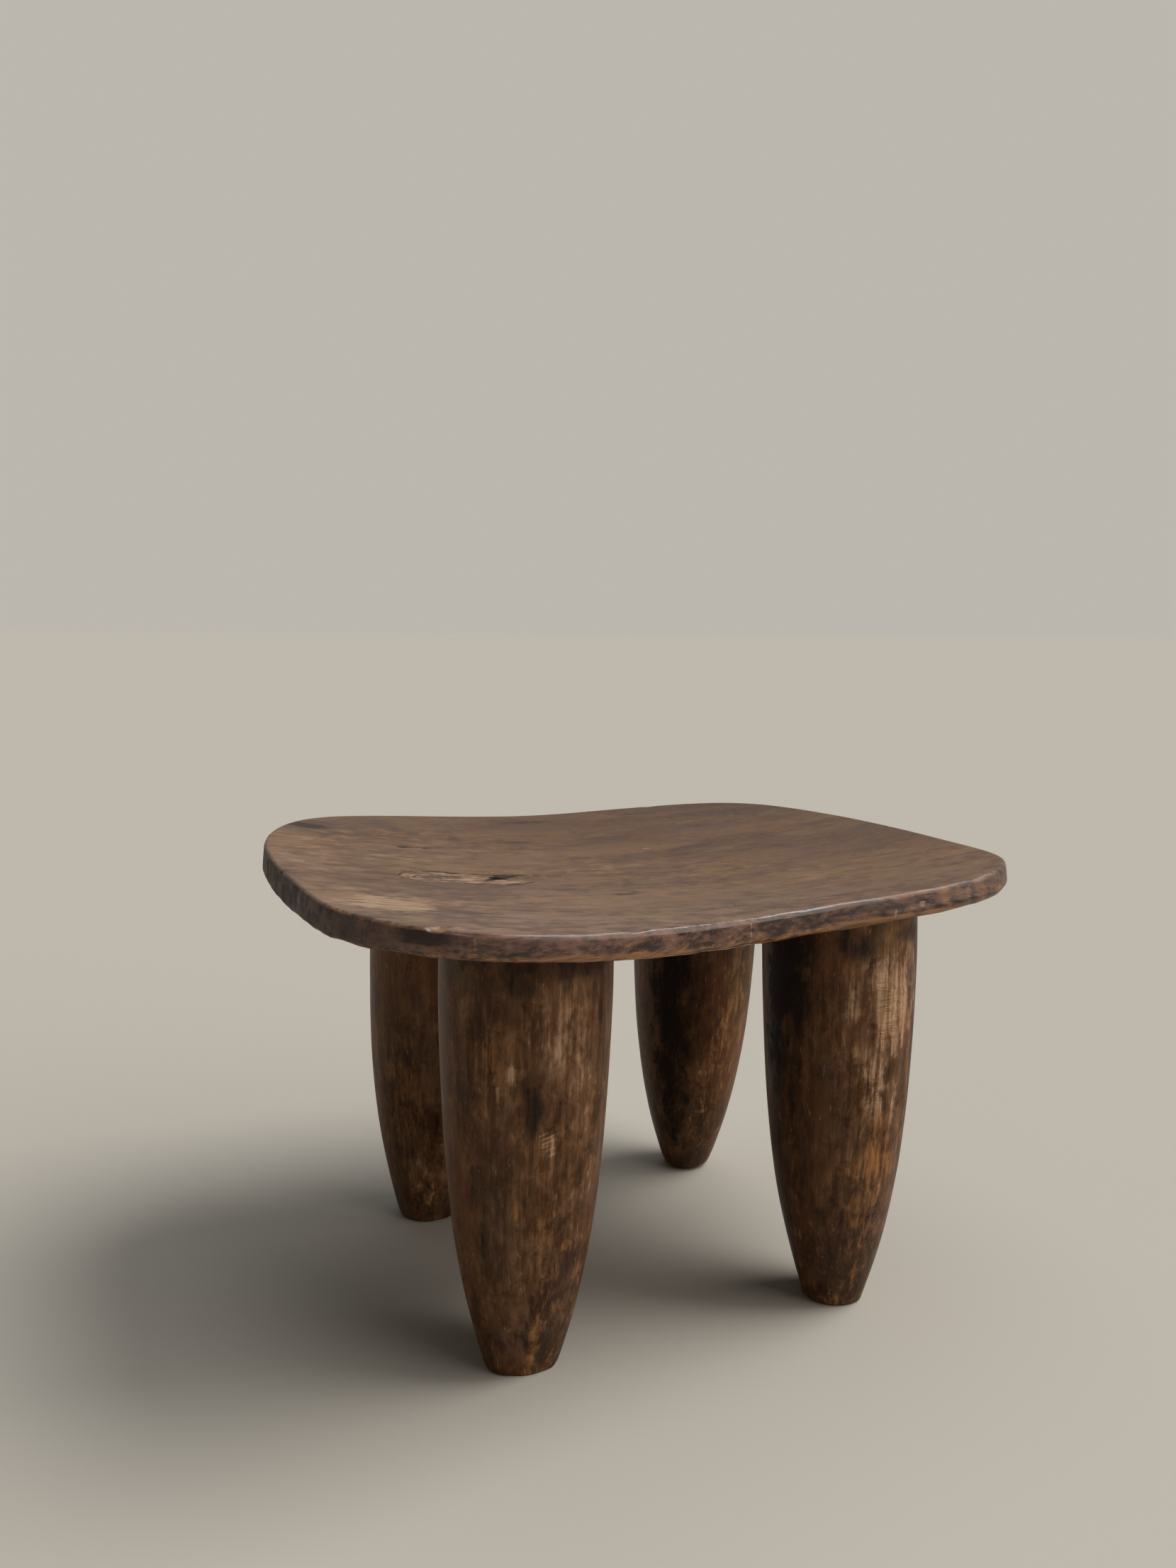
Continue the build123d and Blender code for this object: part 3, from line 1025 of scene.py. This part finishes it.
# Studio: a pale floor and a pale surround, a soft key light high on the right, a low wide one
# beside it, a weak one overhead, and the camera where someone standing by looks down.
studio_colour = (0.50, 0.475, 0.43, 1)
bpy.ops.mesh.primitive_plane_add(size=40)
floor = bpy.context.active_object
floor.name = "studio_floor"
pale = bpy.data.materials.new("pale_floor")
pale.use_nodes = True
pale_shader = pale.node_tree.nodes["Principled BSDF"]
pale_shader.inputs["Base Color"].default_value = studio_colour
pale_shader.inputs["Roughness"].default_value = 1.0
pale_shader.inputs["Specular IOR Level"].default_value = 0.0
floor.data.materials.append(pale)

# The surround lights the stool weakly, and shows at full strength behind and in what shines
world = bpy.data.worlds.new("studio")
bpy.context.scene.world = world
world.use_nodes = True
surround = world.node_tree.nodes["Background"]
surround.inputs["Color"].default_value = studio_colour
weak_light = 0.23
rays = world.node_tree.nodes.new("ShaderNodeLightPath")
level = None
for kind in ("Is Camera Ray", "Is Glossy Ray", "Is Transmission Ray"):
    raised = world.node_tree.nodes.new("ShaderNodeMix")
    raised.inputs["A"].default_value = weak_light
    raised.inputs["B"].default_value = 1.0
    world.node_tree.links.new(rays.outputs[kind], raised.inputs["Factor"])
    if level is not None:
        world.node_tree.links.new(level, raised.inputs["A"])
    level = raised.outputs["Result"]
world.node_tree.links.new(level, surround.inputs["Strength"])


def soft_light(name, turn, rise, spread, strength, colour):
    """A far round light, from a direction and a height in degrees, that seems so many degrees wide."""
    lamp = bpy.data.lights.new(name, "SUN")
    lamp.angle = radians(spread)
    lamp.energy = strength
    lamp.color = colour
    holder = bpy.data.objects.new(name, lamp)
    bpy.context.scene.collection.objects.link(holder)
    holder.matrix_world = Matrix.Rotation(radians(turn), 4, "Z") @ Matrix.Rotation(radians(90 - rise), 4, "Y")


soft_light("key_light", -14, 55, 34, 2.25, (1.0, 0.97, 0.92))
soft_light("side_light", -42, 24, 50, 1.25, (1.0, 0.95, 0.88))
soft_light("overhead_light", 66, 78, 50, 0.6, (0.96, 0.98, 1.0))

camera_place = (-0.33247, -0.73392, 0.42513)
camera_turn = -0.39002
camera_dip = 0.13535
camera_roll = 0.013715
camera_data = bpy.data.cameras.new("camera")
camera_data.lens = 29.317
camera = bpy.data.objects.new("camera", camera_data)
bpy.context.scene.collection.objects.link(camera)
camera.matrix_world = (
    Matrix.Translation(camera_place)
    @ Matrix.Rotation(camera_turn, 4, "Z")
    @ Matrix.Rotation(pi / 2 - camera_dip, 4, "X")
    @ Matrix.Rotation(camera_roll, 4, "Z")
)
bpy.context.scene.camera = camera
bpy.context.scene.view_settings.view_transform = "Standard"
